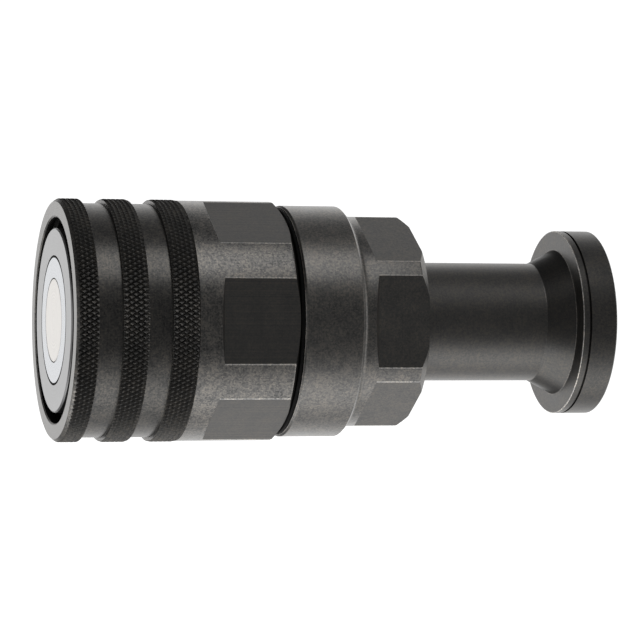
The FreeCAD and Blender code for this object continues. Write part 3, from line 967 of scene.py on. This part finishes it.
def plain_sheet(name, corners, colour, glow):
    """A flat stage surface."""
    data = bpy.data.meshes.new(name)
    data.from_pydata(corners, [], [tuple(range(len(corners)))])
    made = bpy.data.objects.new(name, data)
    bpy.context.scene.collection.objects.link(made)
    material = bpy.data.materials.new(name)
    material.use_nodes = True
    shader = material.node_tree.nodes["Principled BSDF"]
    shader.inputs["Base Color"].default_value = (*colour, 1)
    shader.inputs["Roughness"].default_value = 0.9
    shader.inputs["Emission Color"].default_value = (1, 1, 1, 1)
    shader.inputs["Emission Strength"].default_value = glow
    data.materials.append(material)
    return made


def surroundings_brightness(ramp):
    """Sets the ramp that gives the surroundings' brightness round the coupler's axis."""
    elements = ramp.color_ramp.elements
    while len(elements) < len(BRIGHTNESS_ROUND):
        elements.new(0.5)
    for element, (elevation, brightness) in zip(elements, BRIGHTNESS_ROUND):
        element.position = (elevation + 180) / 360
        element.color = (brightness, brightness, brightness, 1)


def backdrop():
    """White floor and shell that only the camera sees."""
    corners = [
        (-ROOM, -ROOM, FLOOR_Z),
        (ROOM, -ROOM, FLOOR_Z),
        (ROOM, ROOM, FLOOR_Z),
        (-ROOM, ROOM, FLOOR_Z),
    ]
    floor = plain_sheet("floor", corners, (0.85, 0.85, 0.85), 1.0)
    dome = bmesh.new()
    bmesh.ops.create_icosphere(dome, subdivisions=4, radius=ROOM)
    data = bpy.data.meshes.new("surroundings")
    dome.to_mesh(data)
    dome.free()
    shell = bpy.data.objects.new("surroundings", data)
    bpy.context.scene.collection.objects.link(shell)
    white = bpy.data.materials.new("surroundings")
    white.use_nodes = True
    shader = white.node_tree.nodes["Principled BSDF"]
    shader.inputs["Base Color"].default_value = (0, 0, 0, 1)
    shader.inputs["Emission Color"].default_value = (1, 1, 1, 1)
    shader.inputs["Emission Strength"].default_value = 1.1
    data.materials.append(white)
    for unlit in (shell, floor):
        unlit.visible_diffuse = False
        unlit.visible_glossy = False
        unlit.visible_shadow = False


def zone_share(tree, directions, edges):
    """How far a direction is inside a zone, from 0 to 1."""
    inside = None
    for part, first, last in edges:
        edge = tree.nodes.new("ShaderNodeMapRange")
        edge.interpolation_type = "SMOOTHSTEP"
        edge.inputs["From Min"].default_value = first
        edge.inputs["From Max"].default_value = last
        tree.links.new(directions[part], edge.inputs["Value"])
        if inside is None:
            inside = edge.outputs[0]
            continue
        both = tree.nodes.new("ShaderNodeMath")
        both.operation = "MULTIPLY"
        tree.links.new(inside, both.inputs[0])
        tree.links.new(edge.outputs[0], both.inputs[1])
        inside = both.outputs[0]
    return inside


def surroundings():
    """The world that the coupler is lit by and reflects."""
    world = bpy.data.worlds.new("world")
    bpy.context.scene.world = world
    world.use_nodes = True
    tree = world.node_tree
    background = tree.nodes["Background"]
    place = tree.nodes.new("ShaderNodeTexCoord")
    split = tree.nodes.new("ShaderNodeSeparateXYZ")
    tree.links.new(place.outputs["Generated"], split.inputs[0])
    front = tree.nodes.new("ShaderNodeMath")
    front.operation = "MULTIPLY"
    front.inputs[1].default_value = -1
    tree.links.new(split.outputs["Y"], front.inputs[0])
    elevation = tree.nodes.new("ShaderNodeMath")
    elevation.operation = "ARCTAN2"
    tree.links.new(split.outputs["Z"], elevation.inputs[0])
    tree.links.new(front.outputs[0], elevation.inputs[1])
    share = tree.nodes.new("ShaderNodeMapRange")
    share.inputs["From Min"].default_value = -math.pi
    share.inputs["From Max"].default_value = math.pi
    tree.links.new(elevation.outputs[0], share.inputs["Value"])
    ramp = tree.nodes.new("ShaderNodeValToRGB")
    surroundings_brightness(ramp)
    tree.links.new(share.outputs[0], ramp.inputs[0])
    brightness = ramp.outputs[0]
    for level, edges in ZONES:
        inside = zone_share(tree, split.outputs, edges)
        mix = tree.nodes.new("ShaderNodeMix")
        mix.data_type = "RGBA"
        mix.inputs["B"].default_value = (level, level, level, 1)
        tree.links.new(inside, mix.inputs["Factor"])
        tree.links.new(brightness, mix.inputs["A"])
        brightness = mix.outputs["Result"]
    tree.links.new(brightness, background.inputs["Color"])


def softbox():
    """A soft light above, on the camera's side, seen reflected up to one station."""
    right_end = Vector(((FRONT_X + SOFTBOX_LIT_TO) * MM, 0, 0))
    toward = Vector((
        SOFTBOX_ALONG,
        -SOFTBOX_ACROSS * math.cos(SOFTBOX_ELEVATION),
        SOFTBOX_ACROSS * math.sin(SOFTBOX_ELEVATION),
    ))
    half_width = Vector((SOFTBOX_SIZE[0] / 2, 0, 0))
    middle = right_end + SOFTBOX_DISTANCE * toward - half_width
    area_light("softbox", middle, right_end - half_width, SOFTBOX_SIZE, SOFTBOX_POWER)


# ---- The object --------------------------------------------------------------------------


def paint(node, material):
    """Gives a CAD node its material."""
    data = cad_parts[node].data
    if not data.materials:
        data.materials.append(material)
    for i in range(len(data.materials)):
        data.materials[i] = material


def dress(piece, body, node, material):
    """A detailed piece that stands for a CAD node."""
    piece.data.materials.append(material)
    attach(piece, body)
    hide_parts(node)
    return piece


def repaint(piece, material, chosen):
    """Gives the faces that chosen(centre, normal) picks another material."""
    piece.data.materials.append(material)
    index = len(piece.data.materials) - 1
    for face in piece.data.polygons:
        if chosen(face.center, face.normal):
            face.material_index = index


def station_of(place):
    return place.x / MM - FRONT_X


def radius_of(place):
    return math.hypot(place.y, place.z) / MM


def in_knurl(place):
    station = station_of(place)
    return any(start < station < end for start, end in KNURL_BANDS) and radius_of(place) > 34.1


def in_rim_groove(place):
    on_wall = RIM_GROOVE_START - 0.1 < station_of(place) < RIM_GROOVE_START + RIM_GROOVE_WIDTH + 0.1
    return on_wall and FLANGE_R - 0.6 < radius_of(place) < FLANGE_R - 0.01


def on_back_edge(place):
    return abs(station_of(place) - REAR_CHAMFER_START) < 0.1 and radius_of(place) > 34.4


def on_head_edge(place):
    return FLANGE_START < station_of(place) < FLANGE_START + 0.22 and radius_of(place) > 26.76


def in_flare_corner(place):
    return abs(station_of(place) - FLANGE_START) < 0.16 and abs(radius_of(place) - FLARE_R) < 0.16


def on_flat_edge(place, radius, flat, start):
    """Whether a place is on the edge between a spanner flat and the round surface, where wear and a painted
    highlight go.
    """
    if station_of(place) < start or radius_of(place) < radius - 0.12:
        return False
    turn = math.degrees(math.atan2(place.z, -place.y)) % (360 / SIDES)
    off = min(turn, 360 / SIDES - turn)
    return abs(off - math.degrees(math.acos(flat / radius))) < WEAR_AND_HIGHLIGHT_EDGE


camera()
backdrop()
surroundings()
softbox()

steel = phosphate("phosphate_turned", 0.185, 0.6, tool="turned")
body_steel = phosphate("phosphate_body", 0.195, 0.42, tool="turned")
# Darker steel for the grooves between the knurled bands: painted shade in the recesses.
groove_shade_steel = phosphate("phosphate_groove_painted_shade", 0.115, 0.5, tool="turned")
knurled = phosphate("phosphate_knurled", 0.095, 0.4, (0.4, 0.55))
milled = phosphate("phosphate_milled", 0.16, 0.22, tool="milled")
collar_milled = phosphate("phosphate_collar", 0.175, 0.25, tool="turned", tool_depth=0.006)
neck_steel = phosphate("phosphate_neck", 0.147, 0.22, (0.36, 0.46), tool="turned", tool_depth=0.008)
flange_steel = phosphate("phosphate_flange", 0.125, 0.25, (0.36, 0.46), tool="turned")
flare_steel = phosphate("phosphate_flare", 0.1, 0.2, (0.32, 0.42), tool="turned")
# Light steel for edges: partly wear to bare metal, partly a painted highlight where small chamfers and
# edges catch the light.
wear_and_highlight_steel = phosphate("phosphate_edge_wear_and_highlight", 0.62, 0.5, (0.48, 0.65))
# Painted highlight: a light line where the flare meets the flange face.
crease_highlight_steel = phosphate("phosphate_crease_highlight", 0.22, 0.5, (0.4, 0.55))
# Near-black steel used as painted shade and painted dark reflection in bores, gaps, grooves and side walls.
painted_shade_steel = phosphate("phosphate_painted_shade", 0.03, 0.4, (0.5, 0.6))
face_steel = bare_steel("bare_sleeve_face", 0.34, 0.38, WARM)
valve_steel = bare_steel("bare_valve_face", 0.4, 0.3)
bright_steel = bare_steel("plated_stem", 0.66, 0.22, (0.97, 1.0, 1.04), 0.4, 0.002)
disc_steel = bare_steel("relief_disc", 0.87, 0.4, (1.02, 0.99, 0.95), 0.5, 0.002)
black_rubber = rubber("nitrile_rubber")
backup = plastic("backup_plastic")
wire = drawn_wire("spring_wire")

sleeve = dress(locking_sleeve(), "sleeve", "locking_sleeve", steel)
repaint(sleeve, knurled, lambda c, n: in_knurl(c))
# painted shade in the grooves between the knurled bands
repaint(sleeve, groove_shade_steel, lambda c, n: 6 < station_of(c) < 28 and 33 < radius_of(c) < 33.95)
repaint(sleeve, milled, lambda c, n: station_of(c) > 41 and 32.2 < radius_of(c) < 34.45)
# painted shade in the sleeve's bore and thread
repaint(sleeve, painted_shade_steel, lambda c, n: station_of(c) > 0.2 and radius_of(c) < 31.5)
# painted highlight and wear on the edges of the sleeve's flats and on its back edge
repaint(sleeve, wear_and_highlight_steel, lambda c, n: on_flat_edge(c, SLEEVE_PLAIN_R, SLEEVE_FLAT, SLEEVE_FLATS_START))
repaint(sleeve, wear_and_highlight_steel, lambda c, n: on_back_edge(c))
# painted shade on the sleeve's rear cone, which faces the dark gap
repaint(sleeve, painted_shade_steel, lambda c, n: station_of(c) > REAR_CHAMFER_START + 0.08 and n.x > 0.3)
repaint(sleeve, face_steel, lambda c, n: station_of(c) < 0.1 and n.x < -0.8)
body = dress(main_body(), "coupler_body", "main_body", body_steel)
# painted highlight on the body's rounded front edge
repaint(body, wear_and_highlight_steel, lambda c, n: station_of(c) < BODY_START + 0.17 and radius_of(c) > BODY_R - 0.75)
adapter = dress(flange_adapter(), "coupler_body", "flange_adapter", body_steel)
repaint(adapter, collar_milled, lambda c, n: 86 < station_of(c) < 103.2 and 27 < radius_of(c) < 30.45)
repaint(adapter, neck_steel, lambda c, n: 103.2 < station_of(c) < FLARE_START and radius_of(c) > 17)
repaint(adapter, flange_steel, lambda c, n: FLANGE_START - 0.2 < station_of(c) and radius_of(c) > 12.8)
repaint(adapter, flare_steel,
        lambda c, n: FLARE_START < station_of(c) < FLANGE_START - 0.2 and radius_of(c) > 17)
# painted highlight and wear on the edges of the collar's flats and the flange head's front edge
repaint(adapter, wear_and_highlight_steel, lambda c, n: on_flat_edge(c, COLLAR_R, COLLAR_FLAT, COLLAR_FLATS_START))
repaint(adapter, wear_and_highlight_steel, lambda c, n: on_head_edge(c))
# painted highlight along the crease between the flare and the flange face
repaint(adapter, crease_highlight_steel, lambda c, n: in_flare_corner(c))
# painted shade in the flange's rim groove
repaint(adapter, painted_shade_steel, lambda c, n: in_rim_groove(c))
dress(sleeve_wiper_ring(), "coupler_body", "sleeve_wiper_ring", black_rubber)
valve = dress(valve_sleeve(), "valve", "valve_sleeve", valve_steel)
# painted shade on the valve ring's bore wall at the face
repaint(valve, painted_shade_steel, lambda c, n: 0.02 < station_of(c) < 0.6 and radius_of(c) < 18.6)
cap = dress(stem_cap(), "coupler_body", "stem_cap", bright_steel)
# painted shade on the stem cap's side walls
repaint(cap, painted_shade_steel, lambda c, n: 0.02 < station_of(c) and abs(n.x) < 0.85)
dress(relief_plunger(), "plunger", "relief_plunger", disc_steel)
dress(flange_o_ring(), "coupler_body", "flange_o_ring", black_rubber)

valve_spring = spring("valve_spring_coiled", 24.0, 62.0, wire=2.6, mean_radius=21.45, turns=8)
dress(valve_spring, "coupler_body", "valve_spring", wire)
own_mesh(valve_spring)
relief_spring = spring("relief_spring_coiled", 4.6, 28.0, wire=1.6, mean_radius=4.6, turns=8)
dress(relief_spring, "coupler_body", "relief_spring", wire)
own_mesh(relief_spring)

PLAIN_FINISHES = {
    "thrust_washer": face_steel,
    "sleeve_friction_ring": black_rubber,
    "front_barrel": steel,
    "barrel_o_ring": black_rubber,
    "adapter_o_ring": black_rubber,
    "adapter_backup_ring": backup,
    "valve_sleeve_o_ring": black_rubber,
    "valve_sleeve_backup_ring": backup,
    "valve_stem": bright_steel,
    "stem_seal": black_rubber,
    "stem_spider": valve_steel,
    "stem_washer": bright_steel,
    "stem_nut": bright_steel,
    "relief_seal": black_rubber,
}
for node, material in PLAIN_FINISHES.items():
    paint(node, material)

bpy.context.scene.view_settings.view_transform = "Standard"
